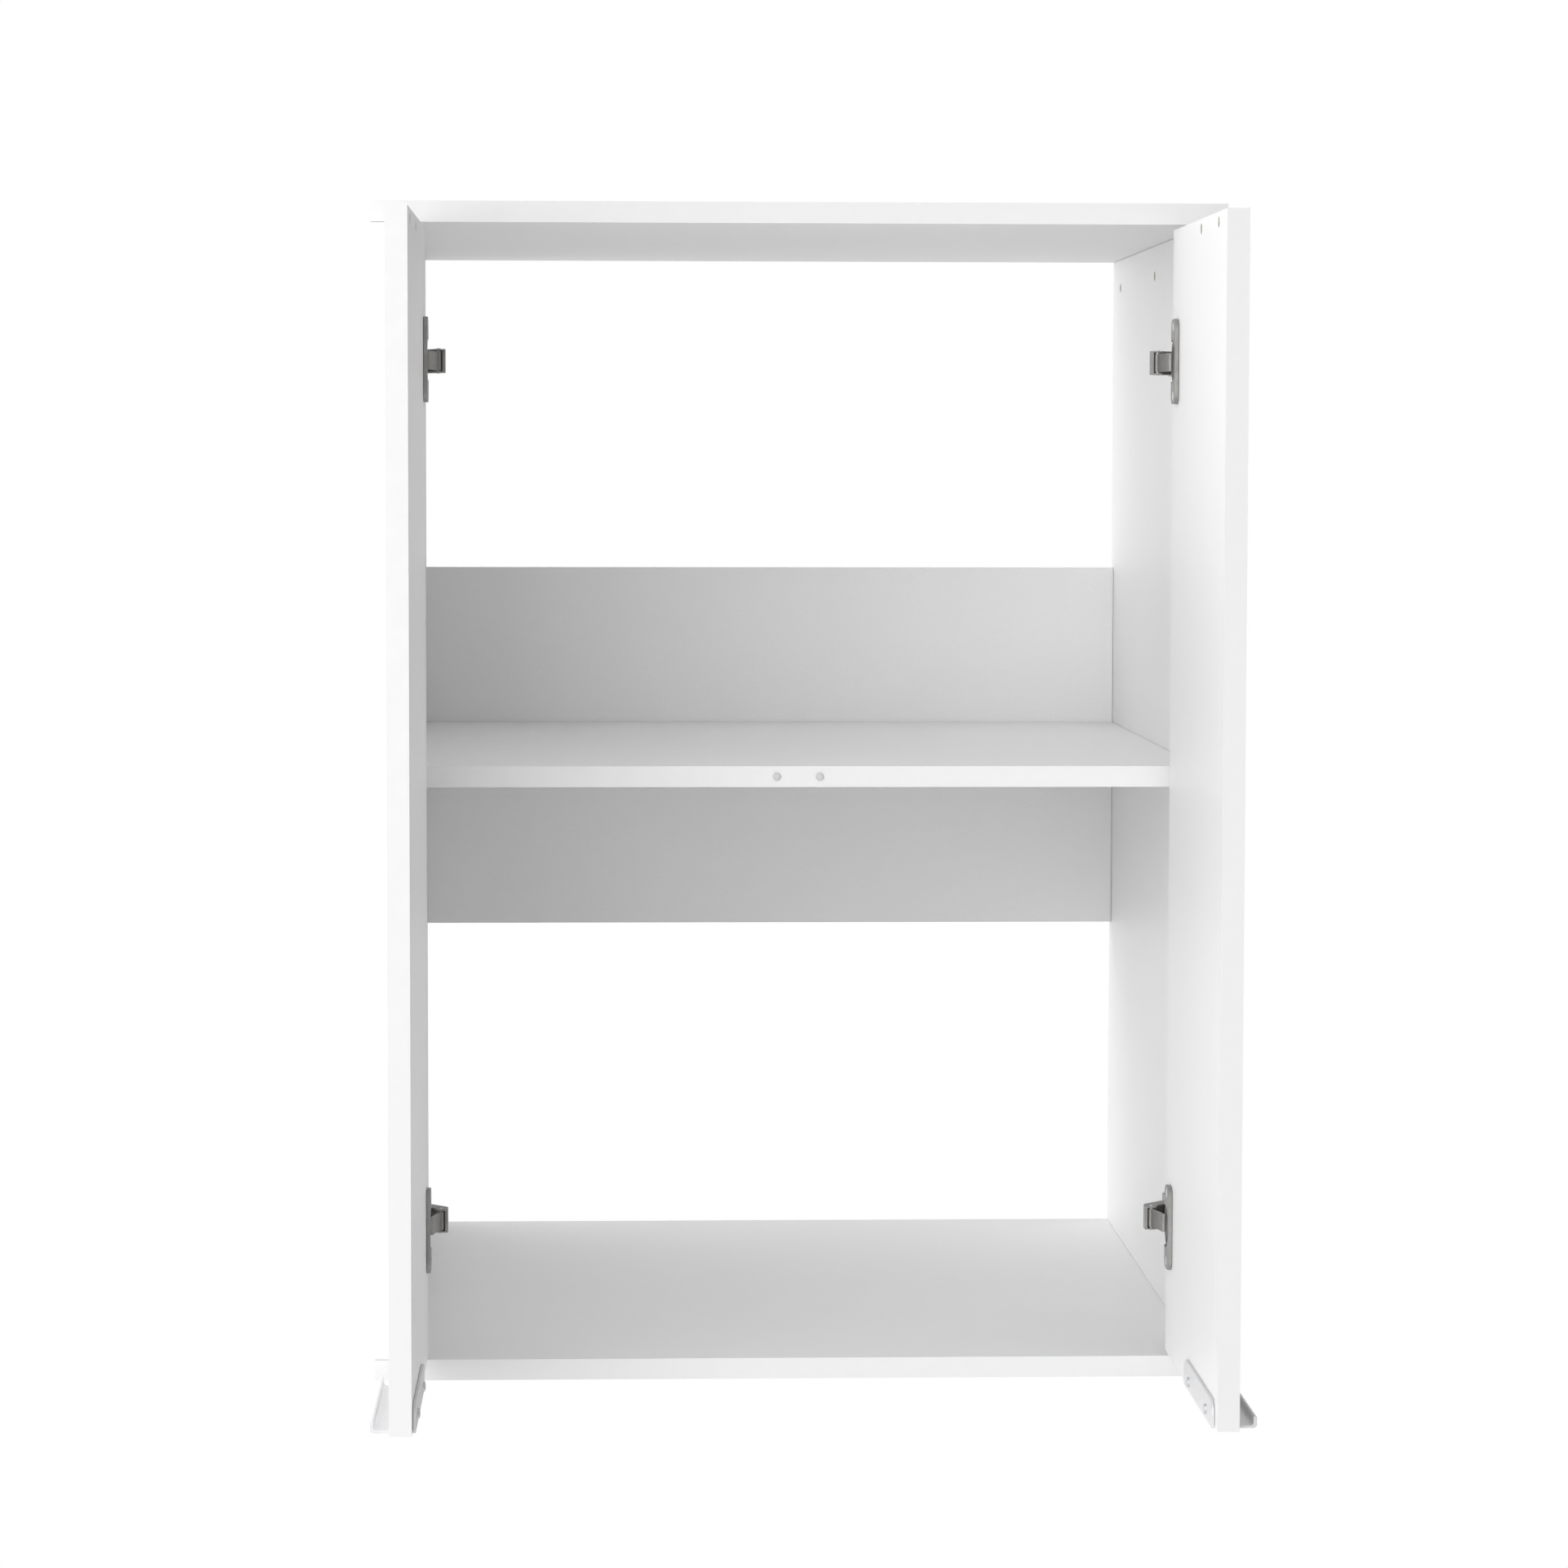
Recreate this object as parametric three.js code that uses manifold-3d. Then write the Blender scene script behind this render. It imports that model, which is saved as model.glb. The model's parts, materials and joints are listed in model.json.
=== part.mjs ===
// Hanging wall cabinet: an open-backed box of melamine-faced board with one shelf, a mounting panel
// across the middle of its back, and two inset doors that are shown open at right angles.
//
// Frame (millimetres): origin at the centre of the mounting panel's rear face, the face that lies on
// the wall. +X to the viewer's right, +Y into the wall, +Z up. The doors open towards -Y.

import * as THREE from 'three';
import { mergeVertices } from 'three/addons/utils/BufferGeometryUtils.js';
import Module from 'manifold-3d';

const wasm = await Module();
wasm.setup();

// ---- Driving dimensions -------------------------------------------------------------------------

const width = 650;               // outside, left to right
const depth = 650;               // outside, without the doors
const height = 900;
const board = 16;                // every board, door and shelf
const fit = 0.3;                 // gap left between pieces that touch on the real object

const panelHeight = 320;         // mounting panel, centred in the height
const shelfUnderside = 5;        // above the centre of the cabinet
const shelfSetback = 19;         // from the front edges: door thickness and a 3 mm buffer

const sideGap = 2;               // closed door to side board
const middleGap = 3;             // between the two closed doors
const endGap = 4;                // closed door to top and bottom boards
const openFaceGap = 9;           // open door's outer face to the side board's inner face
const openEdgeInset = 5;         // open door's hinge edge behind the cabinet's front edges

const hingeHeight = 330;         // hinge centres above and below the centre of the cabinet
const cupRadius = 17.5;
const cupDepth = 11.5;
const cupInset = 21;             // cup centre from the door's hinge edge
const flangeLength = 64;
const flangeWidth = 26;
const flangeInset = 15;          // flange's edge from the door's hinge edge
const flangeThickness = 2.8;
const flangeScrewSpacing = 52;
const linkHeight = 14;
const linkThickness = 1.2;
const armHeight = 18;
const pinRadius = 1.5;
const armScrewLine = 72;         // screw that clamps the arm, behind the front edges
const plateLine = 37;            // mounting plate's screw line behind the front edges
const plateScrewSpacing = 32;
const plateWing = 26;            // half the length of the mounting plate's wings
const plateHalfWidth = 9;
const plateThickness = 2.6;
const ridgeHeight = 13.5;        // ridge that the arm rides on, from the side board
const ridgeHalf = 6;
const ridgeFront = 26;

const handleLength = 160;
const handleEndInset = 12.5;     // handle's end from the door's free edge
const handleScrewSpacing = 96;
const handleHoleRise = 7.5;      // hole line from the door's bottom or top edge
const handleHoleRadius = 4;      // open holes at the door's top edge
const handleWall = 2;
const handleLip = 14;            // how far the grip stands out of the door's outer face
const handleRim = 8.5;           // height of the grip's upturned rim
const handleRimThickness = 2.4;
const handleBend = 2.5;          // outer radius where the web turns up into the rim
const handlePlate = 20;          // height of the plate on the door's inner face
const handleCorner = 11;         // radius of that plate's upper corners

const rowHoleRadius = 4;
const rowHoleLines = [80, 336, 592];    // behind the front edges, high on each side board
const rowHoleDrop = 25;                 // below the top board

const blindDepth = 12;           // drilled depth of the screw and bolt holes
const pilotRadius = 2;           // pilot holes for wood screws
const euroHoleRadius = 2.5;      // holes for the mounting plates' screws
const headSink = 1.5;            // depth and extra radius of a countersink
const screwClearance = 2.3;      // hole radius in metal for a wood screw

// ---- Values that follow from them ---------------------------------------------------------------

const halfWidth = width / 2;
const halfHeight = height / 2;
const innerHalf = halfWidth - board;
const innerTop = halfHeight - board;
const frontY = -depth;
const doorWidth = innerHalf - sideGap - middleGap / 2;
const doorHalfHeight = innerTop - endGap;

// Plan coordinates of a hinge: x from the side board's inner face towards the middle, y from the
// cabinet's front edges inwards. The door turns about this line between closed and open.
const pivotX = (openFaceGap + openEdgeInset + sideGap) / 2;
const pivotY = pivotX - openFaceGap;

// ---- Finishes -----------------------------------------------------------------------------------

const finish = (color, roughness, metalness) =>
  new THREE.MeshStandardMaterial({ color, roughness, metalness });

const melamine = finish(0xf0f0ee, 0.5, 0);
const nickel = finish(0xc6c5c2, 0.46, 1);
const aluminium = finish(0xe0e0e1, 0.46, 1);
const zincSteel = finish(0xcdced1, 0.42, 1);
const greyPlastic = finish(0xd2d3d4, 0.5, 0);
const beech = finish(0xc9a578, 0.7, 0);

// ---- Shape helpers ------------------------------------------------------------------------------

// A closed geometry as a solid that can be joined and cut.
function toSolid(geometry) {
  const bare = new THREE.BufferGeometry();
  bare.setAttribute('position', geometry.getAttribute('position'));
  if (geometry.index) bare.setIndex(geometry.index);
  const merged = mergeVertices(bare, 1e-4);
  return new wasm.Manifold(new wasm.Mesh({
    numProp: 3,
    vertProperties: Float32Array.from(merged.getAttribute('position').array),
    triVerts: Uint32Array.from(merged.index.array),
  }));
}

// A solid back as a geometry.
function toGeometry(solid) {
  const mesh = solid.getMesh();
  const geometry = new THREE.BufferGeometry();
  geometry.setAttribute('position', new THREE.BufferAttribute(Float32Array.from(mesh.vertProperties), 3));
  geometry.setIndex(new THREE.BufferAttribute(Uint32Array.from(mesh.triVerts), 1));
  geometry.computeVertexNormals();
  return geometry;
}

// The first geometry with the others added and the cutters taken away.
function carve(base, { add = [], cut = [] } = {}) {
  let solid = toSolid(base);
  for (const extra of add) solid = solid.add(toSolid(extra));
  for (const cutter of cut) solid = solid.subtract(toSolid(cutter));
  return toGeometry(solid);
}

// A block between two corners.
function block(low, high) {
  const size = high.map((value, i) => value - low[i]);
  const centre = high.map((value, i) => (value + low[i]) / 2);
  return new THREE.BoxGeometry(...size).translate(...centre);
}

// A round bar along one axis, from start by length.
function bar(axis, start, radius, length, sides = 20) {
  const geometry = new THREE.CylinderGeometry(radius, radius, length, sides).translate(0, length / 2, 0);
  if (axis === 'x') geometry.rotateZ(-Math.PI / 2);
  if (axis === 'z') geometry.rotateX(Math.PI / 2);
  return geometry.translate(...start);
}

// A turned piece: profile points are [radius, distance along the axis]; the axis is made to point
// along +Y from the given start.
function turned(profile, start, sides = 20) {
  const points = profile.map(([radius, along]) => new THREE.Vector2(radius, along));
  return new THREE.LatheGeometry(points, sides).translate(...start);
}

// A flat plate: a plan outline of [x, y] points or a Shape, standing from z = bottom to z = top.
function slab(outline, bottom, top) {
  const points = () => outline.map(([x, y]) => new THREE.Vector2(x, y));
  const shape = outline instanceof THREE.Shape ? outline : new THREE.Shape(points());
  const geometry = new THREE.ExtrudeGeometry(shape, {
    depth: top - bottom, bevelEnabled: false, curveSegments: 6,
  });
  return geometry.translate(0, 0, bottom);
}

// A cutter for a countersunk hole along y, its mouth at y = face and its screw going towards -y.
function sinkCutter(x, face, z, radius) {
  return turned([
    [0, face - 30], [radius, face - 30], [radius, face - headSink], [radius + headSink, face],
    [radius + headSink, face + 5], [0, face + 5],
  ], [x, 0, z], 24);
}

// A bent strap of even thickness that follows a smooth plan curve through the given points.
function strap(points, thickness, tall) {
  const curve = new THREE.SplineCurve(points.map(([x, y]) => new THREE.Vector2(x, y)));
  const steps = 14;
  const left = [];
  const right = [];
  for (let i = 0; i <= steps; i++) {
    const at = curve.getPoint(i / steps);
    const along = curve.getTangent(i / steps);
    const offX = -along.y * thickness / 2;
    const offY = along.x * thickness / 2;
    left.push([at.x + offX, at.y + offY]);
    right.unshift([at.x - offX, at.y - offY]);
  }
  return slab([...left, ...right], -tall / 2, tall / 2);
}

// A rectangle in the x-z plane with rounded corners, as a plate between two y values.
function roundedPlate(x0, x1, z0, z1, lowerRadius, upperRadius, y0, y1) {
  const shape = new THREE.Shape();
  shape.moveTo(x0, z0 + lowerRadius);
  const quarter = Math.PI / 2;
  const corner = (x, z, radius, from) => {
    if (radius > 0) shape.absarc(x, z, radius, from, from + quarter, false);
    else shape.lineTo(x, z);
  };
  corner(x0 + lowerRadius, z0 + lowerRadius, lowerRadius, 2 * quarter);
  corner(x1 - lowerRadius, z0 + lowerRadius, lowerRadius, 3 * quarter);
  corner(x1 - upperRadius, z1 - upperRadius, upperRadius, 0);
  corner(x0 + upperRadius, z1 - upperRadius, upperRadius, quarter);
  const geometry = new THREE.ExtrudeGeometry(shape, {
    depth: y1 - y0, bevelEnabled: false, curveSegments: 6,
  });
  return geometry.rotateX(Math.PI / 2).translate(0, y1, 0);
}

const mirrorX = new THREE.Matrix4().makeScale(-1, 1, 1);
const swapXY = new THREE.Matrix4().set(0, 1, 0, 0, 1, 0, 0, 0, 0, 0, 1, 0, 0, 0, 0, 1);

// The geometry moved by one of those two matrices, with its faces still pointing out.
function reflected(geometry, matrix) {
  const source = geometry.index ? geometry.toNonIndexed() : geometry.clone();
  const from = source.applyMatrix4(matrix).getAttribute('position').array;
  const to = new Float32Array(from.length);
  for (let corner = 0; corner < from.length / 3; corner++) {
    const step = corner % 3;
    const swapped = corner - step + (3 - step) % 3;
    to.set(from.subarray(corner * 3, corner * 3 + 3), swapped * 3);
  }
  const result = new THREE.BufferGeometry();
  result.setAttribute('position', new THREE.BufferAttribute(to, 3));
  result.computeVertexNormals();
  return result;
}

function addPiece(group, name, geometry, material) {
  const mesh = new THREE.Mesh(geometry, material);
  mesh.name = name;
  group.add(mesh);
  return mesh;
}

// ---- Fasteners ----------------------------------------------------------------------------------

// A pan-head screw along y: the head ends at headTop, the shank runs the other way (towards -y).
function screw(x, headTop, z, headRadius, headHeight, shankRadius, shankLength) {
  const shoulder = headTop - headHeight;
  return turned([
    [0, shoulder - shankLength],
    [shankRadius, shoulder - shankLength + shankRadius],
    [shankRadius, shoulder],
    [headRadius, shoulder],
    [headRadius * 0.86, headTop - headHeight * 0.35],
    [headRadius * 0.5, headTop],
    [0, headTop],
  ], [x, 0, z], 14);
}

// ---- Carcass ------------------------------------------------------------------------------------

const dowelRadius = 4;
const dowelLength = 30;
const dowelLines = [110, depth - 110];               // behind the front edges
const panelDowelHeights = [-110, 110];
const supportLines = [70, depth - 90];               // shelf supports behind the front edges
const supportPinRadius = 2.5;
const supportHoleDepth = 10;
const supportDrop = 4;                               // pin's axis below the shelf

// Dowels stand up out of a side board's end and reach into the top or bottom board.
const dowelInSide = 19;
const dowelInBoard = dowelLength - dowelInSide;

function sideDowelHoles(x, end) {
  const direction = Math.sign(end);
  const holeLength = dowelLength + 2 * fit;
  const low = direction > 0 ? end - dowelInSide - fit : end - dowelInBoard - fit;
  return dowelLines.map((line) => bar('z', [x, frontY + line, low], dowelRadius + fit, holeLength, 16));
}

// The panel's dowels lie along x: most of each one is in the panel, the rest in a side board.
const panelDowelStart = (side) => (side > 0 ? innerHalf - dowelInSide : -innerHalf - dowelInBoard);

function panelDowelHoles(side) {
  const start = panelDowelStart(side) - fit;
  return panelDowelHeights.map((z) =>
    bar('x', [start, -board / 2, z], dowelRadius + fit, dowelLength + 2 * fit, 16));
}

// A hole drilled into a side board from its inner face.
function blindHole(side, y, z, radius, holeDepth) {
  const start = side > 0 ? innerHalf - 1 : -innerHalf - holeDepth;
  return bar('x', [start, y, z], radius, holeDepth + 1, 16);
}

function hingeScrewHoles(side) {
  const holes = [];
  for (const hinge of [-1, 1]) {
    for (const half of [-1, 1]) {
      const z = hinge * hingeHeight + half * plateScrewSpacing / 2;
      holes.push(blindHole(side, frontY + plateLine, z, euroHoleRadius, blindDepth));
    }
  }
  return holes;
}

function supportHoles(side) {
  return supportLines.map((line) =>
    blindHole(side, frontY + line, shelfUnderside - supportDrop, supportPinRadius + fit, supportHoleDepth));
}

function rowHoles(side) {
  return rowHoleLines.map((line) =>
    blindHole(side, frontY + line, innerTop - rowHoleDrop, rowHoleRadius, blindDepth));
}

function buildCarcass() {
  const carcass = new THREE.Group();
  const endHoles = (end) => [-1, 1].flatMap((side) => sideDowelHoles(side * (innerHalf + board / 2), end));

  const top = block([-halfWidth, frontY, innerTop], [halfWidth, 0, halfHeight]);
  addPiece(carcass, 'top_board', carve(top, { cut: endHoles(innerTop) }), melamine);
  const bottom = block([-halfWidth, frontY, -halfHeight], [halfWidth, 0, -innerTop]);
  addPiece(carcass, 'bottom_board', carve(bottom, { cut: endHoles(-innerTop) }), melamine);

  for (const [name, side] of [['left', -1], ['right', 1]]) {
    const inner = side * innerHalf;
    const outer = side * halfWidth;
    const reach = innerTop - fit;
    const blank = block([Math.min(inner, outer), frontY, -reach], [Math.max(inner, outer), 0, reach]);
    const middle = side * (innerHalf + board / 2);
    const cut = [
      ...sideDowelHoles(middle, innerTop), ...sideDowelHoles(middle, -innerTop), ...panelDowelHoles(side),
      ...hingeScrewHoles(side), ...supportHoles(side), ...rowHoles(side),
    ];
    addPiece(carcass, `${name}_side_board`, carve(blank, { cut }), melamine);
  }

  const panelHalf = innerHalf - fit;
  const panel = block([-panelHalf, -board, -panelHeight / 2], [panelHalf, 0, panelHeight / 2]);
  const panelCuts = [...panelDowelHoles(-1), ...panelDowelHoles(1)];
  addPiece(carcass, 'mounting_panel', carve(panel, { cut: panelCuts }), melamine);

  const dowel = (axis, start) => bar(axis, start, dowelRadius, dowelLength, 12);
  for (const [name, side] of [['left', -1], ['right', 1]]) {
    const x = side * (innerHalf + board / 2);
    for (const [level, end] of [['top', innerTop - dowelInSide], ['bottom', -innerTop - dowelInBoard]]) {
      dowelLines.forEach((line, i) => {
        addPiece(carcass, `${name}_${level}_dowel_${i + 1}`, dowel('z', [x, frontY + line, end]), beech);
      });
    }
    panelDowelHeights.forEach((z, i) => {
      const start = [panelDowelStart(side), -board / 2, z];
      addPiece(carcass, `${name}_panel_dowel_${i + 1}`, dowel('x', start), beech);
    });
  }
  return carcass;
}

// ---- Shelf --------------------------------------------------------------------------------------

const shelfTop = shelfUnderside + board;
const bufferOffset = 16.5;       // either side of the middle
const bufferRadius = 3;

function buildShelf() {
  const group = new THREE.Group();
  const half = innerHalf - 0.5;
  const front = frontY + shelfSetback;
  const middle = (shelfUnderside + shelfTop) / 2;
  const stemHole = (x) => bar('y', [x, front - 1, middle], 2 + fit, 11, 14);
  const shelf = block([-half, front, shelfUnderside], [half, -board - 1, shelfTop]);
  const cut = [stemHole(-bufferOffset), stemHole(bufferOffset)];
  addPiece(group, 'shelf', carve(shelf, { cut }), melamine);

  for (const [name, side] of [['left', -1], ['right', 1]]) {
    const buffer = turned(
      [[0, -2.5], [2.1, -2.5], [bufferRadius, -1.6], [bufferRadius, -fit], [2, -fit], [2, 8], [0, 8]],
      [side * bufferOffset, front, middle], 24);
    addPiece(group, `${name}_door_buffer`, buffer, greyPlastic);

    for (const [place, line] of [['front', supportLines[0]], ['rear', supportLines[1]]]) {
      const y = frontY + line;
      const inner = side * (innerHalf - fit);
      const reach = side * (innerHalf - 9);
      const pinStart = side > 0 ? innerHalf - 4 : -innerHalf - 8;
      const top = shelfUnderside - fit;
      const lug = block([Math.min(inner, reach), y - 6, top - 7], [Math.max(inner, reach), y + 6, top]);
      const pin = bar('x', [pinStart, y, shelfUnderside - supportDrop], supportPinRadius, 12, 14);
      addPiece(group, `${name}_${place}_shelf_support`, carve(lug, { add: [pin] }), nickel);
    }
  }
  return group;
}

// ---- Hinges -------------------------------------------------------------------------------------
// Hinge pieces are drawn in the plan coordinates above, with z from the hinge's centre. The cup and
// its flange belong to the door and are drawn with the door closed.

const cupCentre = sideGap + cupInset;
const cupWall = 1.2;
const cupSides = 40;
const flangeScrewX = cupCentre + 5.5;
const flangeSeat = board + fit;
const rimTop = flangeSeat + 1.2;
const flangeTop = flangeSeat + flangeThickness;

function buildCup() {
  const inner = cupRadius - cupWall;
  const floor = board - cupDepth;
  const bowl = turned([
    [0, floor], [cupRadius - 1, floor], [cupRadius, floor + 1], [cupRadius, rimTop], [inner, rimTop],
    [inner, floor + 1], [0, floor + 1],
  ], [cupCentre, 0, 0], cupSides);
  const rim = turned([
    [inner, flangeSeat], [cupRadius + 1.4, flangeSeat], [cupRadius + 1.4, rimTop - 0.4],
    [cupRadius + 1, rimTop], [inner, rimTop], [inner, flangeSeat],
  ], [cupCentre, 0, 0], cupSides);
  const flange = roundedPlate(
    sideGap + flangeInset, sideGap + flangeInset + flangeWidth, -flangeLength / 2, flangeLength / 2,
    8, 8, flangeSeat, flangeTop);
  const mouth = bar('y', [cupCentre, floor + 1, 0], inner, 30, cupSides);
  const screwHoles = [-1, 1].map((half) =>
    sinkCutter(flangeScrewX, flangeTop, half * flangeScrewSpacing / 2, screwClearance));
  const plate = carve(flange, { cut: [mouth] });
  return carve(bowl, { add: [rim, plate], cut: screwHoles });
}

// Where the link turns in the arm, and the line that it follows into the cup with the door open.
const linkPin = [34.3, 22.9];
const linkEye = 2.8;
const linkPath = [[34.3, 20.5], [31.6, 12.5], [29.2, 4], [28.8, -1], [28, -2.2], [26.6, -2.4]];

function buildLink() {
  const [x, y] = linkPin;
  const eye = bar('z', [x, y, -linkHeight / 2], linkEye, linkHeight, 20);
  const hole = bar('z', [x, y, -linkHeight / 2 - 1], pinRadius + fit, linkHeight + 2, 20);
  return carve(strap(linkPath, linkThickness, linkHeight), { add: [eye], cut: [hole] });
}

// The arm is a channel of folded steel, open towards the side board, cranked in for an inset door.
const armWall = 1.1;
const armFront = 20;
const armRear = 88;
const armOuter = 39.5;
const armLow = 18;
const armScrewRadius = 2;
const webOutline = [
  [armOuter, armFront], [armOuter, 31], [armOuter - 1.2, 34], [armLow + 1.2, 54], [armLow, 57],
  [armLow, armRear], [armLow - 2, armRear], [armLow - 2, 56.4], [armLow - 1, 53.2],
  [armOuter - 3, 33], [armOuter - 2, 30.5], [armOuter - 2, armFront],
];
const cheekOutline = [
  [31, armFront], [armOuter, armFront], [armOuter, 31], [armOuter - 1.2, 34], [armLow + 1.2, 54],
  [armLow, 57], [armLow, armRear], [6, armRear], [6, 50], [28.5, 29],
];

function buildArm() {
  const half = armHeight / 2;
  const cheeks = [slab(cheekOutline, half - armWall, half), slab(cheekOutline, -half, armWall - half)];
  const [x, y] = linkPin;
  const pinHole = bar('z', [x, y, -armHeight], pinRadius + fit, 2 * armHeight, 20);
  const screwHole = bar('x', [0, armScrewLine, 0], armScrewRadius + 0.5 + fit, 40, 16);
  return carve(slab(webOutline, -half, half), { add: cheeks, cut: [pinHole, screwHole] });
}

function buildArmPin() {
  const [x, y] = linkPin;
  const reach = armHeight / 2 + 0.6;
  return bar('z', [x, y, -reach], pinRadius, 2 * reach, 16);
}

// The mounting plate: two wings on the screw line and a ridge that the arm rides on.
function buildMountingPlate() {
  const top = fit + plateThickness;
  const base = roundedPlate(
    plateLine - plateHalfWidth, plateLine + plateHalfWidth, -plateWing, plateWing, 6, 6, fit, top);
  const ridge = block([ridgeFront, fit, -ridgeHalf], [armRear - 1, ridgeHeight, ridgeHalf]);
  const screwHoles = [-1, 1].map((half) =>
    sinkCutter(plateLine, top, half * plateScrewSpacing / 2, euroHoleRadius));
  const armScrewHole = bar('y', [armScrewLine, 4, 0], armScrewRadius + fit, 20, 16);
  const plate = carve(base, { add: [ridge], cut: [...screwHoles, armScrewHole] });
  return reflected(plate, swapXY);
}

// A screw whose axis runs along x, head towards the middle of the cabinet.
function sideScrew(y, z, headTop, headRadius, headHeight, shankRadius, shankLength) {
  const upright = screw(0, headTop, 0, headRadius, headHeight, shankRadius, shankLength);
  return upright.rotateZ(-Math.PI / 2).translate(0, y, z);
}

// ---- Handles ------------------------------------------------------------------------------------
// An extruded angle under the door's bottom edge: a screwed plate on the inner face, a web let into
// the edge, and a lip with an upturned rim in front. Drawn with the door closed.

const handleFar = sideGap + doorWidth - handleEndInset;
const handleNear = handleFar - handleLength;
const sectionAlongX = new THREE.Matrix4().set(0, 0, 1, 0, 1, 0, 0, 0, 0, 1, 0, 0, 0, 0, 0, 1);
const handleScrews = [-1, 1].map((half) => handleFar - handleLength / 2 + half * handleScrewSpacing / 2);

function buildHandle() {
  const bottom = -doorHalfHeight;
  const inside = board + fit;
  const plate = roundedPlate(
    handleNear, handleFar, bottom, bottom + handlePlate, 0, handleCorner, inside, inside + handleWall);

  // The section's points are [depth, height above the door's bottom edge].
  const tip = handleRimThickness / 2;
  const rimInner = handleRimThickness - handleLip;
  const foot = rimInner + handleWall;
  const section = new THREE.Shape();
  section.moveTo(inside + handleWall, 0);
  section.lineTo(inside + handleWall, 2 * handleWall);
  section.lineTo(inside, 2 * handleWall);
  section.lineTo(inside, handleWall);
  section.lineTo(foot, handleWall);
  section.absarc(foot, 2 * handleWall, handleWall, -Math.PI / 2, -Math.PI, true);
  section.lineTo(rimInner, handleRim - tip);
  section.absarc(rimInner - tip, handleRim - tip, tip, 0, Math.PI, false);
  section.lineTo(-handleLip, handleBend);
  section.absarc(handleBend - handleLip, handleBend, handleBend, Math.PI, 1.5 * Math.PI, false);
  const grip = new THREE.ExtrudeGeometry(section, {
    depth: handleLength, bevelEnabled: false, curveSegments: 8,
  });
  grip.applyMatrix4(sectionAlongX).translate(handleNear, 0, bottom);

  const holes = handleScrews.map((x) =>
    bar('y', [x, inside - 1, bottom + handleHoleRise], screwClearance, 5, 20));
  return carve(grip, { add: [plate], cut: holes });
}

// ---- Doors --------------------------------------------------------------------------------------

function buildDoor() {
  const past = 30;               // cutters run this far, well clear of the door's inner face
  const pilot = (x, z, radius) => bar('y', [x, board - blindDepth, z], radius, past, 16);
  const cuts = [];
  for (const hinge of [-1, 1]) {
    const z = hinge * hingeHeight;
    cuts.push(bar('y', [cupCentre, board - cupDepth - fit, z], cupRadius + fit, past, cupSides));
    for (const half of [-1, 1]) {
      cuts.push(pilot(flangeScrewX, z + half * flangeScrewSpacing / 2, pilotRadius));
    }
  }
  // The bottom holes take the handle's screws, and the open top ones serve a door hung the other way up.
  for (const x of handleScrews) {
    cuts.push(pilot(x, doorHalfHeight - handleHoleRise, handleHoleRadius));
    cuts.push(pilot(x, handleHoleRise - doorHalfHeight, pilotRadius));
  }
  const rebate = handleWall + fit;
  cuts.push(block(
    [handleNear - fit, -1, -doorHalfHeight - 1], [handleFar + fit, board + 1, rebate - doorHalfHeight]));
  const leaf = block([sideGap, 0, -doorHalfHeight], [sideGap + doorWidth, board, doorHalfHeight]);
  return carve(leaf, { cut: cuts });
}

// ---- One side: its door, handle and two hinges --------------------------------------------------

function buildSide(name, side) {
  const group = new THREE.Group();
  group.position.set(side * innerHalf, frontY, 0);
  const handed = (geometry) => (side > 0 ? reflected(geometry, mirrorX) : geometry);

  // Everything on the door hangs in a group that is turned a quarter about the pivot line.
  const swing = new THREE.Group();
  swing.position.set(-side * pivotX, pivotY, 0);
  swing.rotation.z = side * Math.PI / 2;
  group.add(swing);
  const onDoor = new THREE.Group();
  onDoor.position.set(side * pivotX, -pivotY, 0);
  swing.add(onDoor);

  addPiece(onDoor, `${name}_door`, handed(buildDoor()), melamine);
  addPiece(onDoor, `${name}_handle`, handed(buildHandle()), aluminium);
  handleScrews.forEach((x, i) => {
    const top = board + fit + handleWall + 1.5;
    const head = screw(x, top, handleHoleRise - doorHalfHeight, 3.6, 1.2, 1.7, 12);
    addPiece(onDoor, `${name}_handle_screw_${i + 1}`, handed(head), zincSteel);
  });

  for (const [level, half] of [['upper', 1], ['lower', -1]]) {
    const prefix = `${name}_${level}`;
    const z = half * hingeHeight;
    const lift = (mesh) => mesh.position.set(0, 0, z);
    lift(addPiece(onDoor, `${prefix}_hinge_cup`, handed(buildCup()), nickel));
    lift(addPiece(group, `${prefix}_hinge_link`, handed(buildLink()), nickel));
    lift(addPiece(group, `${prefix}_hinge_arm`, handed(buildArm()), nickel));
    lift(addPiece(group, `${prefix}_hinge_pin`, handed(buildArmPin()), zincSteel));
    lift(addPiece(group, `${prefix}_mounting_plate`, handed(buildMountingPlate()), nickel));
    const armScrew = sideScrew(armScrewLine, 0, armLow + 2.2, 4, 1.8, armScrewRadius, 11);
    lift(addPiece(group, `${prefix}_arm_screw`, handed(armScrew), zincSteel));
  }
  return group;
}

const cabinet = new THREE.Group();
cabinet.name = 'wall_cabinet';
cabinet.add(buildCarcass());
cabinet.add(buildShelf());
cabinet.add(buildSide('left', -1));
cabinet.add(buildSide('right', 1));

export default cabinet;
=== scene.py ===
import json
import math

import bmesh
import bpy
import numpy as np
from mathutils import Matrix, Vector

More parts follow.
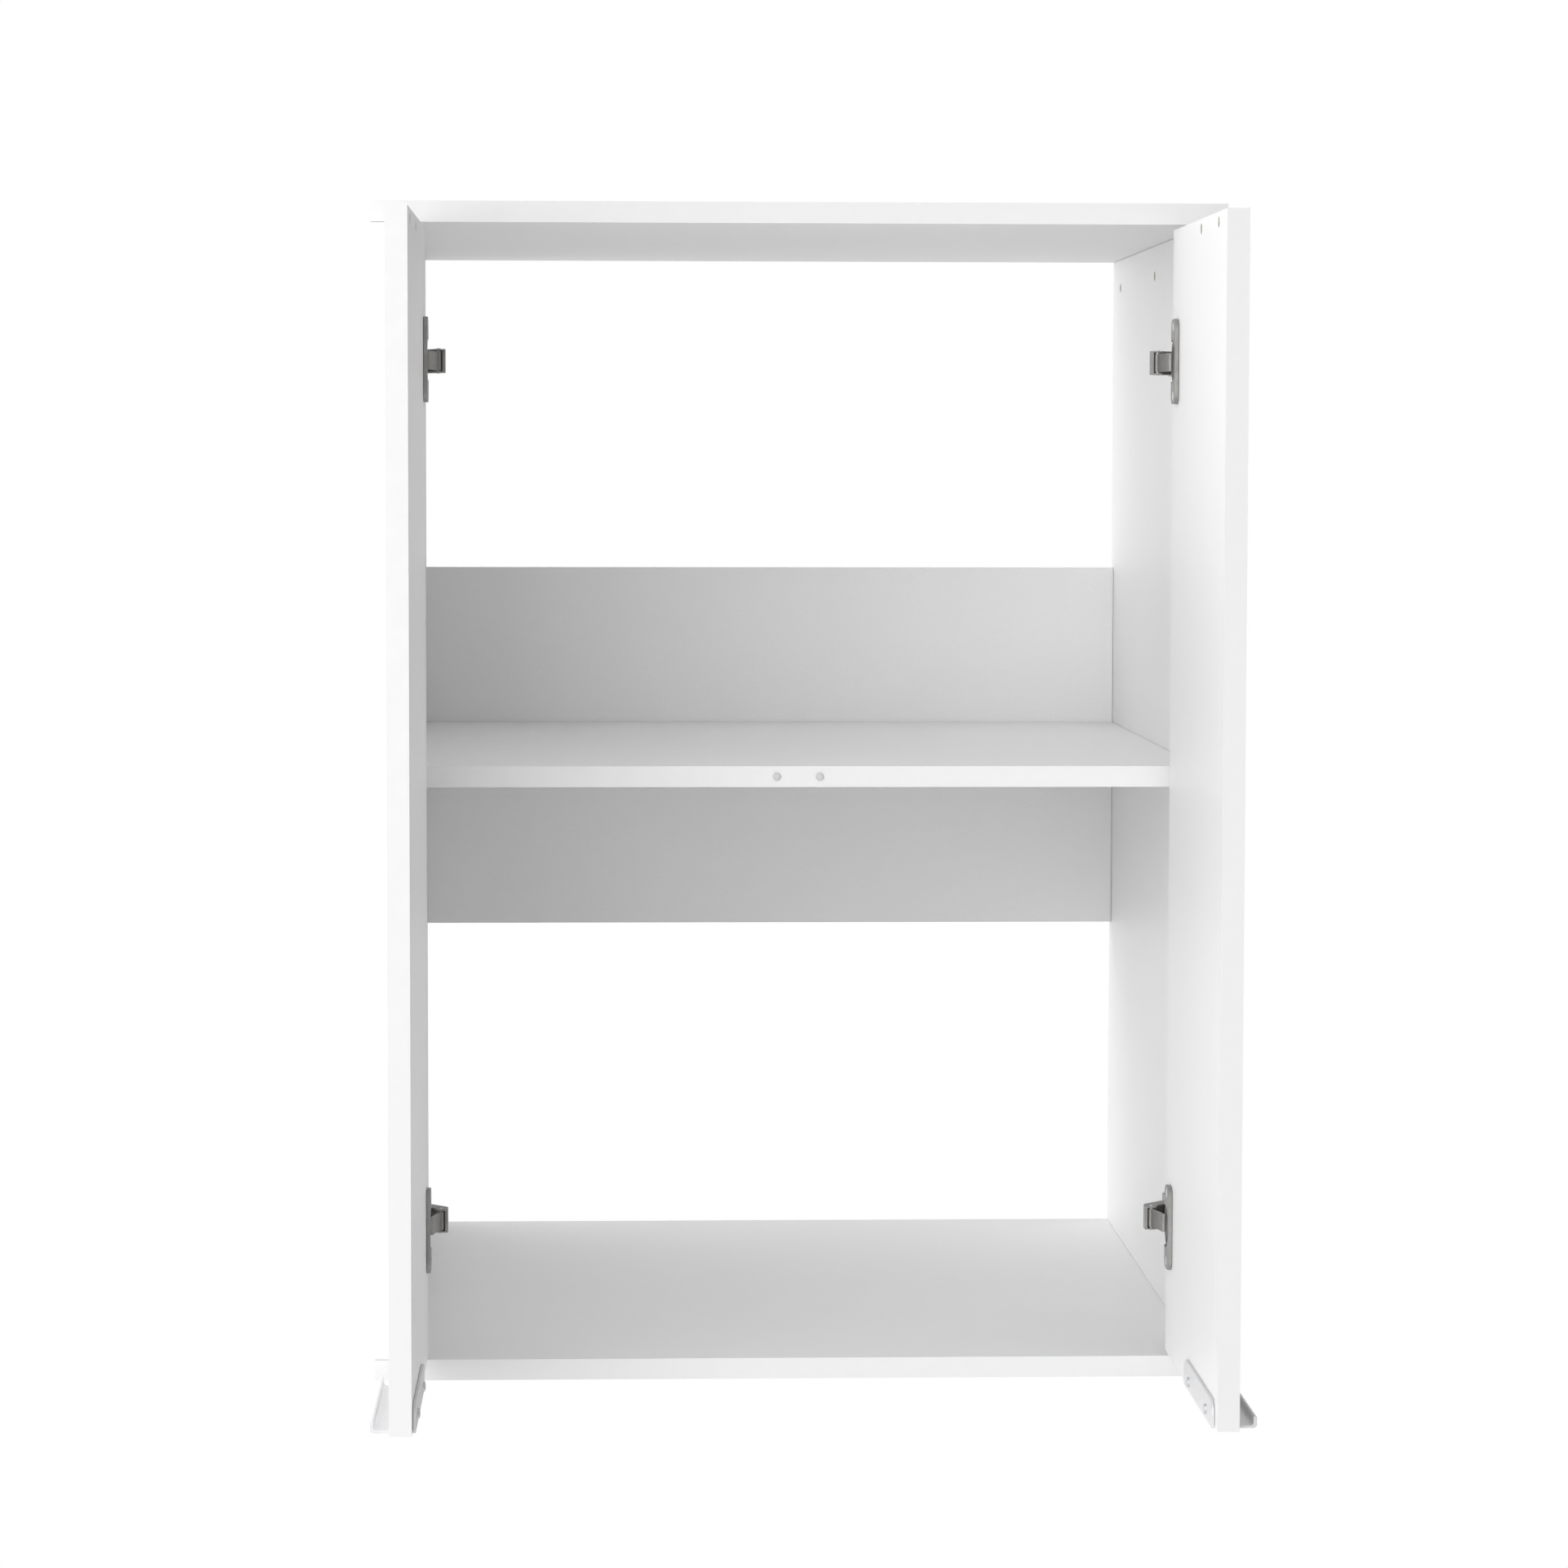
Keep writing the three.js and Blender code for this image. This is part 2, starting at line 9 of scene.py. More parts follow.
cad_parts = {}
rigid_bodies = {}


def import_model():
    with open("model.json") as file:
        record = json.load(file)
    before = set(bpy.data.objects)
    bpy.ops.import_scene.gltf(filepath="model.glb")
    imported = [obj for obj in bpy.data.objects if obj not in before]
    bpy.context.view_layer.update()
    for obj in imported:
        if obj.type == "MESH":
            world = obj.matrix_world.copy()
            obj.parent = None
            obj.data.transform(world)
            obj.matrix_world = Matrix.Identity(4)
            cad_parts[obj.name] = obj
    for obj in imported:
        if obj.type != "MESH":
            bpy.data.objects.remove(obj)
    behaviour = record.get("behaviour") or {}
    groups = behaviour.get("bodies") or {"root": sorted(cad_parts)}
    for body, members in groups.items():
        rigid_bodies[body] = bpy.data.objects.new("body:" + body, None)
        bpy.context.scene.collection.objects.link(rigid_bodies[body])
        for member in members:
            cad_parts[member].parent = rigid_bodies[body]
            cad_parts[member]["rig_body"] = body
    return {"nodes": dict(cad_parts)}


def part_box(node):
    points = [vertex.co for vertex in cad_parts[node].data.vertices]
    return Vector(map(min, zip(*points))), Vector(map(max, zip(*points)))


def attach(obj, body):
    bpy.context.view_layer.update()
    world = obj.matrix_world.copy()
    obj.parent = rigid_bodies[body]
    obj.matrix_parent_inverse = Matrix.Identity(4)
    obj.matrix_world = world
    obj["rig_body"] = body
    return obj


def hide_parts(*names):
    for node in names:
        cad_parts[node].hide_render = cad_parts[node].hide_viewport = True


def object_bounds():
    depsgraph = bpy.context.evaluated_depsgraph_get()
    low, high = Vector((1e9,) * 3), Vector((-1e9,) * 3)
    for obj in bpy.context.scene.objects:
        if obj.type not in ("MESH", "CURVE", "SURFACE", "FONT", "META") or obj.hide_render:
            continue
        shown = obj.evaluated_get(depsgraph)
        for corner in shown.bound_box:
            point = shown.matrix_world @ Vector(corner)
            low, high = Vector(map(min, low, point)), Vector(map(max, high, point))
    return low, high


# A white wall cabinet with an open back, one shelf and two open doors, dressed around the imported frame.
# Metres, +X to the viewer's right, +Y into the wall, +Z up.

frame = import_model()
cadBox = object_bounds()
scene = bpy.context.scene
mm = 0.001
hands = {"left": -1, "right": 1}  # which side of the middle each half of the cabinet is on
print("frame loaded,", len(frame["nodes"]), "nodes")

camera = dict(
    place=(-0.1457, -4.1518, 0.2494),
    right=2.19,       # degrees that it turns to the right of straight ahead, and down
    down=3.93,
    roll=0.11,
    lens=105.7,       # millimetres, as is the sensor's width
    sensor=36.0,
    reach=100,        # how far it sees
)


def makeCamera():
    lens = bpy.data.cameras.new("studioCamera")
    lens.lens = camera["lens"]
    lens.sensor_width = camera["sensor"]
    lens.clip_end = camera["reach"]
    eye = bpy.data.objects.new("studioCamera", lens)
    turn = Matrix.Rotation(math.radians(-camera["right"]), 4, "Z")
    tilt = Matrix.Rotation(math.radians(90 - camera["down"]), 4, "X")
    roll = Matrix.Rotation(math.radians(camera["roll"]), 4, "Z")
    eye.matrix_world = Matrix.Translation(camera["place"]) @ turn @ tilt @ roll
    scene.collection.objects.link(eye)
    scene.camera = eye


makeCamera()

studio = dict(
    backdrop=1.0,     # how bright the surroundings look to the camera
    ambient=0.06,     # how much light they give all round
    glows={           # soft light from large screens: the way to each one, and its strength at the middle
        "front": ((0, -1, 0), 0.42),
        "above": ((0, 0, 1), 0.45),
        "left": ((-1, 0, 0), 0.42),
        "behindLeft": ((-0.7, 0.7, 0), 1.20),
    },
    floorDrop=1.3,    # below the cabinet's underside
    floorRadius=4.0,
    floorSides=96,
    floorMiddle=0.3,  # share of the radius that doesn't glow
    floorGlow=0.12,   # painted glow at the floor's rim, so that it runs into the surroundings
    key=dict(place=(-1.85, -4.95, 0.9), size=3.0, power=92, target=(0, -0.4, 0)),
)


def aimedLight(name, place, size, power, target):
    lamp = bpy.data.lights.new(name, "AREA")
    lamp.size = size
    lamp.energy = power
    piece = bpy.data.objects.new(name, lamp)
    piece.location = place
    piece.rotation_euler = (Vector(target) - Vector(place)).to_track_quat("-Z", "Y").to_euler()
    scene.collection.objects.link(piece)


def makeStudio():
    world = bpy.data.worlds.new("whiteStudio")
    world.use_nodes = True
    tree = world.node_tree
    tree.nodes.clear()
    seen = addNode(tree, "Background", {"Color": (1, 1, 1, 1), "Strength": studio["backdrop"]})
    way = addNode(tree, "TexCoord").outputs["Generated"]
    total = studio["ambient"]
    for towards, strength in studio["glows"].values():  # each glow falls off as the cosine from its middle
        facing = addNode(tree, "VectorMath", {0: way, 1: towards}, operation="DOT_PRODUCT")
        lit = addNode(tree, "Math", {0: facing.outputs["Value"], 1: 0.0}, operation="MAXIMUM")
        added = addNode(tree, "Math", {0: lit.outputs[0], 1: strength, 2: total}, operation="MULTIPLY_ADD")
        total = added.outputs[0]
    giving = addNode(tree, "Background", {"Color": (1, 1, 1, 1), "Strength": total})
    ray = addNode(tree, "LightPath")
    both = addNode(tree, "MixShader", {
        0: ray.outputs["Is Camera Ray"], 1: giving.outputs[0], 2: seen.outputs[0]})
    addNode(tree, "OutputWorld", {"Surface": both.outputs[0]})
    scene.world = world
    scene.view_settings.view_transform = "Standard"  # white stays white

    angle = np.linspace(0, 2 * math.pi, studio["floorSides"], endpoint=False)
    rim = np.stack([np.cos(angle), np.sin(angle), 0 * angle], axis=-1) * studio["floorRadius"]
    rim[:, 2] = cadBox[0].z - studio["floorDrop"]
    mesh = bpy.data.meshes.new("studioFloor")
    mesh.from_pydata(rim.tolist(), [], [list(range(len(rim)))])
    floor = bpy.data.objects.new("studioFloor", mesh)
    scene.collection.objects.link(floor)
    mesh.materials.append(makeFloorPaint())
    aimedLight("keyLight", **studio["key"])


def makeFloorPaint():
    # Matt white studio paint. Towards the rim it glows a little: painted light, a glow that is no lamp, so
    # that the floor runs into the white surroundings.
    material, tree, place = newFinish("studioPaint")
    flat = addNode(tree, "VectorMath", {0: place, 1: (1, 1, 0)}, operation="MULTIPLY")
    far = addNode(tree, "VectorMath", {0: flat.outputs[0]}, operation="LENGTH")
    # Painted light: the floor's emission rises from nothing at floorMiddle to floorGlow at the rim.
    glow = addNode(tree, "MapRange", {
        "Value": far.outputs["Value"], 1: studio["floorMiddle"] * studio["floorRadius"],
        2: studio["floorRadius"], 3: 0.0, 4: studio["floorGlow"]})
    cloud = addNode(tree, "TexNoise", {"Vector": place, "Scale": 2.0, "Detail": 2})
    colour = addNode(tree, "Mix", {0: cloud.outputs["Fac"], 6: linear("#F4F4F4"), 7: linear("#F0F0F0")},
                     data_type="RGBA")
    return closeFinish(material, tree, {
        "Base Color": colour.outputs[2], "Roughness": 0.9,
        "Emission Color": (1, 1, 1, 1), "Emission Strength": glow.outputs[0],
    })


# Finishes: each is named for the real material, and its sizes are the material's own.

def linear(code):  # each channel c of the hex code: c / 12.92 when dark, else ((c + 0.055) / 1.055) ^ 2.4
    c = np.array([int(code[i:i + 2], 16) for i in (1, 3, 5)]) / 255
    return (*np.where(c <= 0.04045, c / 12.92, ((c + 0.055) / 1.055) ** 2.4).tolist(), 1.0)


def addNode(tree, kind, inputs=None, **settings):  # inputs: socket name or number, and its value or source
    node = tree.nodes.new("ShaderNode" + kind)
    for name, value in settings.items():
        setattr(node, name, value)
    for name, value in (inputs or {}).items():
        if isinstance(value, bpy.types.NodeSocket):
            tree.links.new(value, node.inputs[name])
        else:
            node.inputs[name].default_value = value
    return node


def newFinish(name):  # an empty material, its node tree and its Object coordinates
    material = bpy.data.materials.new(name)
    material.use_nodes = True
    tree = material.node_tree
    tree.nodes.clear()
    return material, tree, addNode(tree, "TexCoord").outputs["Object"]


def closeFinish(material, tree, values):  # the surface shader with these values or links
    shader = addNode(tree, "BsdfPrincipled", values)
    addNode(tree, "OutputMaterial", {"Surface": shader.outputs[0]})
    return material


melamine = dict(
    face="#F9F9F9", shade="#F6F6F6", roughness=0.44, grain=1.1 * mm, blotch=90 * mm, relief=0.035 * mm)


def makeMelamine():
    # Chipboard faced with melamine paper, pressed on a pearl-textured plate: an even satin white whose
    # sheen breaks into soft grains. The pearl is 0.4 mm across, drawn at 1.1 mm so that it shows.
    material, tree, place = newFinish("melamineFacedBoard")
    grain = addNode(tree, "TexNoise", {
        "Vector": place, "Scale": 1 / melamine["grain"], "Detail": 2.0, "Roughness": 0.6})
    blotch = addNode(tree, "TexNoise", {"Vector": place, "Scale": 1 / melamine["blotch"], "Detail": 3.0})
    base = addNode(tree, "Mix", {
        0: blotch.outputs["Fac"], 6: linear(melamine["face"]), 7: linear(melamine["shade"])},
        data_type="RGBA")
    speck = addNode(tree, "MapRange", {"Value": grain.outputs["Fac"], 1: 0.3, 2: 0.7, 3: 0.965, 4: 1.0})
    colour = addNode(tree, "Mix", {0: 1.0, 6: base.outputs[2], 7: speck.outputs[0]},
                     data_type="RGBA", blend_type="MULTIPLY")
    rough = addNode(tree, "MapRange", {
        "Value": grain.outputs["Fac"], 1: 0.3, 2: 0.7,
        3: melamine["roughness"] - 0.05, 4: melamine["roughness"] + 0.06})
    bump = addNode(tree, "Bump", {
        "Height": grain.outputs["Fac"], "Distance": melamine["relief"], "Strength": 1.0})
    return closeFinish(material, tree, {
        "Base Color": colour.outputs[2], "Roughness": rough.outputs[0], "IOR": 1.52,
        "Normal": bump.outputs[0]})


# The band's tone is greyer than the melamine face: partly the band's own colour, partly painted shade on the
# front edges.
edgeBand = dict(
    tone="#F1F1F1", line="#EDEDED", roughness=0.36, thickness=0.8 * mm, draw=2.2 * mm, chatter=14 * mm,
    relief=0.03 * mm)


def makeEdgeBand():
    # ABS edge banding, extruded, glued on and scraped flush: a touch smoother than the faces and a touch
    # greyer, partly the band's own colour and partly painted shade that tones down the lit front edges,
    # with long shallow lines from the scraper that catch the light along the edge.
    material, tree, place = newFinish("absEdgeBand")
    wave = addNode(tree, "TexNoise", {"Vector": place, "Scale": 1 / edgeBand["draw"], "Detail": 1.0})
    chatter = addNode(tree, "TexNoise", {"Vector": place, "Scale": 1 / edgeBand["chatter"], "Detail": 2.0})
    colour = addNode(tree, "Mix", {
        0: chatter.outputs["Fac"], 6: linear(edgeBand["tone"]), 7: linear(edgeBand["line"])},
        data_type="RGBA")
    rough = addNode(tree, "MapRange", {
        "Value": chatter.outputs["Fac"], 1: 0.3, 2: 0.7,
        3: edgeBand["roughness"] - 0.06, 4: edgeBand["roughness"] + 0.06})
    bump = addNode(tree, "Bump", {
        "Height": wave.outputs["Fac"], "Distance": edgeBand["relief"], "Strength": 1.0})
    return closeFinish(material, tree, {
        "Base Color": colour.outputs[2], "Roughness": rough.outputs[0], "IOR": 1.54,
        "Normal": bump.outputs[0]})


chipCore = dict(light="#CFC8BC", dark="#A39A8C", chip=2.4 * mm, fibre=0.7 * mm, hollow=0.3 * mm)


def makeChipCore():
    # Raw chipboard where a drill or a saw has opened it: pale grey-tan chips pressed together,
    # dull and rough, with small hollows between them.
    material, tree, place = newFinish("rawChipboard")
    chips = addNode(tree, "TexVoronoi", {"Vector": place, "Scale": 1 / chipCore["chip"]})
    fibre = addNode(tree, "TexNoise", {"Vector": place, "Scale": 1 / chipCore["fibre"], "Detail": 3.0})
    tone = addNode(tree, "SeparateColor", {0: chips.outputs["Color"]})
    mixed = addNode(tree, "Math", {0: tone.outputs[0], 1: fibre.outputs["Fac"]}, operation="MULTIPLY")
    colour = addNode(tree, "Mix", {
        0: mixed.outputs[0], 6: linear(chipCore["light"]), 7: linear(chipCore["dark"])}, data_type="RGBA")
    bump = addNode(tree, "Bump", {
        "Height": chips.outputs["Distance"], "Distance": chipCore["hollow"], "Strength": 1.0})
    return closeFinish(material, tree, {
        "Base Color": colour.outputs[2], "Roughness": 0.92, "IOR": 1.45, "Normal": bump.outputs[0]})


nickel = dict(bright="#B0AFAD", dull="#A3A2A0", roughness=0.62, smear=9 * mm, grit=0.8 * mm,
              relief=0.02 * mm)


def makeNickel():
    # Cold-rolled steel, pressed and nickel plated: a warm grey metal, softly blurred, with faint smears
    # from the plating bath and the fine orange peel of the rolled sheet.
    material, tree, place = newFinish("nickelPlatedSteel")
    smear = addNode(tree, "TexNoise", {"Vector": place, "Scale": 1 / nickel["smear"], "Detail": 4.0})
    grit = addNode(tree, "TexNoise", {"Vector": place, "Scale": 1 / nickel["grit"], "Detail": 2.0})
    colour = addNode(tree, "Mix", {
        0: smear.outputs["Fac"], 6: linear(nickel["bright"]), 7: linear(nickel["dull"])}, data_type="RGBA")
    rough = addNode(tree, "MapRange", {
        "Value": smear.outputs["Fac"], 1: 0.3, 2: 0.7,
        3: nickel["roughness"] - 0.07, 4: nickel["roughness"] + 0.09})
    bump = addNode(tree, "Bump", {
        "Height": grit.outputs["Fac"], "Distance": nickel["relief"], "Strength": 1.0})
    return closeFinish(material, tree, {
        "Base Color": colour.outputs[2], "Metallic": 1.0, "Roughness": rough.outputs[0],
        "Normal": bump.outputs[0]})


zinc = dict(bright="#E4E5E6", dull="#D6D8DA", roughness=0.50, patch=1.6 * mm, relief=0.01 * mm)


def makeZinc():
    # Bright zinc plate on small screws and rivets: bluish grey, a little patchy, worn smooth on the crowns.
    material, tree, place = newFinish("zincPlatedSteel")
    patch = addNode(tree, "TexVoronoi", {"Vector": place, "Scale": 1 / zinc["patch"]})
    tone = addNode(tree, "SeparateColor", {0: patch.outputs["Color"]})
    colour = addNode(tree, "Mix", {
        0: tone.outputs[0], 6: linear(zinc["bright"]), 7: linear(zinc["dull"])}, data_type="RGBA")
    rough = addNode(tree, "MapRange", {
        "Value": tone.outputs[1], 3: zinc["roughness"] - 0.05, 4: zinc["roughness"] + 0.08})
    bump = addNode(tree, "Bump", {"Height": tone.outputs[2], "Distance": zinc["relief"], "Strength": 0.6})
    return closeFinish(material, tree, {
        "Base Color": colour.outputs[2], "Metallic": 1.0, "Roughness": rough.outputs[0],
        "Normal": bump.outputs[0]})


aluminium = dict(bright="#ECECED", dull="#E3E3E4", roughness=0.55, line=0.35 * mm, stretch=60.0,
                 relief=0.015 * mm)


def makeAluminium():
    # Extruded aluminium, brushed along its length and clear anodised: fine straight lines that run the
    # length of the grip and draw its highlights out, under a hard satin skin. The lines are 0.1 mm apart,
    # drawn at 0.35 mm so that they show.
    material, tree, place = newFinish("anodisedAluminium")
    along = addNode(tree, "Mapping", {"Vector": place, "Scale": (1, 1 / aluminium["stretch"], 1)})
    lines = addNode(tree, "TexNoise", {
        "Vector": along.outputs[0], "Scale": 1 / aluminium["line"], "Detail": 3.0, "Roughness": 0.6})
    colour = addNode(tree, "Mix", {
        0: lines.outputs["Fac"], 6: linear(aluminium["bright"]), 7: linear(aluminium["dull"])},
        data_type="RGBA")
    rough = addNode(tree, "MapRange", {
        "Value": lines.outputs["Fac"], 1: 0.3, 2: 0.7,
        3: aluminium["roughness"] - 0.06, 4: aluminium["roughness"] + 0.08})
    bump = addNode(tree, "Bump", {
        "Height": lines.outputs["Fac"], "Distance": aluminium["relief"], "Strength": 1.0})
    return closeFinish(material, tree, {
        "Base Color": colour.outputs[2], "Metallic": 1.0, "Roughness": rough.outputs[0],
        "Normal": bump.outputs[0]})


plastic = dict(tone="#D6D7D8", deep="#CBCCCE", roughness=0.5, spark=0.6 * mm, relief=0.03 * mm)


def makePlastic():
    # Moulded pale grey polyethylene: soft, slightly waxy, with the fine matt of a spark-eroded mould.
    material, tree, place = newFinish("mouldedPolyethylene")
    spark = addNode(tree, "TexNoise", {"Vector": place, "Scale": 1 / plastic["spark"], "Detail": 2.0})
    colour = addNode(tree, "Mix", {
        0: spark.outputs["Fac"], 6: linear(plastic["tone"]), 7: linear(plastic["deep"])}, data_type="RGBA")
    bump = addNode(tree, "Bump", {
        "Height": spark.outputs["Fac"], "Distance": plastic["relief"], "Strength": 1.0})
    return closeFinish(material, tree, {
        "Base Color": colour.outputs[2], "Roughness": plastic["roughness"], "IOR": 1.51,
        "Normal": bump.outputs[0]})


beech = dict(pale="#D9B98C", fleck="#B98F5E", grain=1.4 * mm, relief=0.05 * mm)


def makeBeech():
    # Plain beech, turned and left bare: pinkish tan with short dark flecks along the grain.
    material, tree, place = newFinish("bareBeech")
    along = addNode(tree, "Mapping", {"Vector": place, "Scale": (0.3, 1, 0.3)})
    flecks = addNode(tree, "TexNoise", {
        "Vector": along.outputs[0], "Scale": 1 / beech["grain"], "Detail": 4.0})
    share = addNode(tree, "MapRange", {"Value": flecks.outputs["Fac"], 1: 0.5, 2: 0.68})
    colour = addNode(tree, "Mix", {
        0: share.outputs[0], 6: linear(beech["pale"]), 7: linear(beech["fleck"])}, data_type="RGBA")
    bump = addNode(tree, "Bump", {
        "Height": flecks.outputs["Fac"], "Distance": beech["relief"], "Strength": 1.0})
    return closeFinish(material, tree, {
        "Base Color": colour.outputs[2], "Roughness": 0.7, "IOR": 1.45, "Normal": bump.outputs[0]})


makeStudio()
finishes = dict(
    melamine=makeMelamine(), band=makeEdgeBand(), core=makeChipCore(), nickel=makeNickel(), zinc=makeZinc(),
    aluminium=makeAluminium(), plastic=makePlastic(), beech=makeBeech())
print("studio and", len(finishes), "finishes made")

bodyOf = {node: piece["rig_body"] for node, piece in frame["nodes"].items()}
sewing = dict(merge=0.01 * mm, flat=0.4, rounded=30, weight=100)  # the two angles are in degrees


def mergedCopy(node):  # the node's triangles sewn together, with each flat area made whole
    shape = bmesh.new()
    shape.from_mesh(frame["nodes"][node].data)
    bmesh.ops.remove_doubles(shape, verts=shape.verts, dist=sewing["merge"])
    bmesh.ops.dissolve_limit(shape, angle_limit=math.radians(sewing["flat"]),
                             verts=shape.verts, edges=shape.edges)
    return shape


def addPiece(name, mesh, body, nodes=()):
    piece = bpy.data.objects.new(name, mesh)
    scene.collection.objects.link(piece)
    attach(piece, body)
    if nodes:
        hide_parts(*nodes)
    return piece


def easeEdges(piece, width, steps=2):  # rounds every edge that turns more than sewing["rounded"]
    piece.data.shade_smooth()
    bevel = piece.modifiers.new("easedEdges", "BEVEL")
    bevel.width = width
    bevel.segments = steps
    bevel.limit_method = "ANGLE"
    bevel.angle_limit = math.radians(sewing["rounded"])
    flats = piece.modifiers.new("flatFaces", "WEIGHTED_NORMAL")  # broad faces stay flat up to the rounding
    flats.mode = "FACE_AREA"
    flats.weight = sewing["weight"]
    return piece


# For each board: which way its thickness runs, and which ways its edges are banded. Edges on the other
# ways are sawn and hidden against another board.

boards = dict(
    ease=0.5 * mm,
    near=0.05 * mm,   # how close to the board's box a face counts as outside
    facing=0.9,       # how squarely a face has to look along an axis
    cut={
        "top_board": ("topBoard", "z", "xy"),
        "bottom_board": ("bottomBoard", "z", "xy"),
        "left_side_board": ("leftSideBoard", "x", "y"),
        "right_side_board": ("rightSideBoard", "x", "y"),
        "mounting_panel": ("mountingPanel", "y", "z"),
        "shelf": ("shelfBoard", "z", "xy"),
        "left_door": ("leftDoorLeaf", "x", "yz"),
        "right_door": ("rightDoorLeaf", "x", "yz"),
    },
)


def makeBoard(node, name, across, banded):
    shape = mergedCopy(node)
    low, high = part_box(node)
    across = "xyz".index(across)
    banded = ["xyz".index(way) for way in banded]
    for way in banded:  # the band's own thickness shows as a thin strip along the faces
        for end, inward in ((low, 1), (high, -1)):
            cut = Vector((0, 0, 0))
            cut[way] = end[way] + inward * edgeBand["thickness"]
            normal = Vector((0, 0, 0))
            normal[way] = 1
            bmesh.ops.bisect_plane(shape, geom=[*shape.verts, *shape.edges, *shape.faces],
                                   dist=0.001 * mm, plane_co=cut, plane_no=normal)
    for face in shape.faces:
        middle = face.calc_center_median()
        depth = [min(middle[way] - low[way], high[way] - middle[way]) for way in range(3)]
        outside = [way for way in range(3)
                   if abs(face.normal[way]) > boards["facing"] and depth[way] < boards["near"]]
        inStrip = any(depth[way] < edgeBand["thickness"] for way in banded)
        if across in outside:
            face.material_index = 1 if inStrip else 0
        elif any(way in outside for way in banded):
            face.material_index = 1
        else:
            face.material_index = 2  # a hole, a rebate or a hidden sawn end
    mesh = bpy.data.meshes.new(name)
    shape.to_mesh(mesh)
    shape.free()
    for finish in ("melamine", "band", "core"):
        mesh.materials.append(finishes[finish])
    piece = addPiece(name, mesh, bodyOf[node], [node])
    return easeEdges(piece, boards["ease"])


for node, (name, across, banded) in boards["cut"].items():
    makeBoard(node, name, across, banded)
print("boards faced and banded")

pressed = {  # pressed and extruded metal: edge rounding, finish, slot
    "hinge_cup": (0.25 * mm, "nickel", "nickel_steel"),
    "hinge_link": (0.2 * mm, "nickel", "nickel_steel"),
    "hinge_arm": (0.22 * mm, "nickel", "nickel_steel"),
    "hinge_pin": (0.3 * mm, "zinc", "zinc_steel"),
    "mounting_plate": (0.3 * mm, "nickel", "nickel_steel"),
    "shelf_support": (0.4 * mm, "nickel", "nickel_steel"),
    "handle": (0.3 * mm, "aluminium", "anodised_aluminium"),
}


def camel(words):  # left_upper_hinge_cup becomes leftUpperHingeCup
    first, *rest = words.split("_")
    return first + "".join(word.capitalize() for word in rest)


def copyPiece(node, part):
    ease, finish, slot = pressed[part]
    shape = mergedCopy(node)
    mesh = bpy.data.meshes.new(camel(node))
    shape.to_mesh(mesh)
    shape.free()
    mesh.materials.append(finishes[finish])
    piece = addPiece(camel(node), mesh, bodyOf[node], [node])
    return easeEdges(piece, ease)


for hand in hands:
    for level in ("upper", "lower"):
        for part in ("hinge_cup", "hinge_link", "hinge_arm", "hinge_pin", "mounting_plate"):
            copyPiece(f"{hand}_{level}_{part}", part)
    for place in ("front", "rear"):
        copyPiece(f"{hand}_{place}_shelf_support", "shelf_support")
    copyPiece(f"{hand}_handle", "handle")
print("hinges, shelf supports and handles made")

turned = dict(weld=0.002 * mm, sharp=38)  # screws, buffers and dowels; the angle is in degrees


def wrappedMesh(name, grid, finish):  # grid[row, column] wraps round along its columns; end rows are points
    rows, columns = grid.shape[:2]
    corner = np.arange(rows * columns).reshape(rows, columns)
    beside = np.roll(corner, -1, axis=1)
    faces = np.stack([corner[:-1], beside[:-1], beside[1:], corner[1:]], axis=-1).reshape(-1, 4)
    mesh = bpy.data.meshes.new(name)
    mesh.from_pydata(grid.reshape(-1, 3).tolist(), [], faces.tolist())
    shape = bmesh.new()
    shape.from_mesh(mesh)
    bmesh.ops.remove_doubles(shape, verts=shape.verts, dist=turned["weld"])
    bmesh.ops.recalc_face_normals(shape, faces=shape.faces)
    shape.to_mesh(mesh)
    shape.free()
    mesh.shade_smooth()
    mesh.set_sharp_from_angle(angle=math.radians(turned["sharp"]))
    mesh.materials.append(finishes[finish])
    return mesh


def placed(grid, start, along):  # turns a shape drawn along +Z to run along the given way from start
    turn = np.array(Vector(along).to_track_quat("Z", "Y").to_matrix())
    return grid @ turn.T + np.array(start)


def revolve(profile, columns):  # rows of (radius, distance): point = radius at each angle, distance up
    radius, up = np.array(profile, float).T
    angle = np.linspace(0, 2 * math.pi, columns, endpoint=False)
    return np.stack([np.outer(radius, np.cos(angle)), np.outer(radius, np.sin(angle)),
                     np.outer(up, np.ones(columns))], axis=-1)


def smoothStep(low, high, value):  # 0 below low, 1 above high, an even S between
    t = np.clip((value - low) / (high - low), 0, 1)
    return t * t * (3 - 2 * t)


screwKinds = {  # head, under (the head's underside), core and crest are radii; the crown is the head's dome
    "flange": dict(head=3.65 * mm, under=1.5 * mm, rise=2.15 * mm, crown=0.05 * mm, core=1.5 * mm,
                   crest=1.9 * mm, length=10.3 * mm, pitch=1.4 * mm),
    "plate": dict(head=3.85 * mm, under=1.8 * mm, rise=2.05 * mm, crown=0.05 * mm, core=1.8 * mm,
                  crest=2.25 * mm, length=11 * mm, pitch=1.8 * mm),
    "handle": dict(head=3.6 * mm, under=3.6 * mm, rise=1.5 * mm, crown=0.5 * mm, core=1.45 * mm,
                   crest=1.85 * mm, length=12.5 * mm, pitch=1.4 * mm),
    "arm": dict(head=4.0 * mm, under=4.0 * mm, rise=1.9 * mm, crown=0.5 * mm, core=1.7 * mm,
                crest=2.0 * mm, length=11 * mm, pitch=0.7 * mm),
}


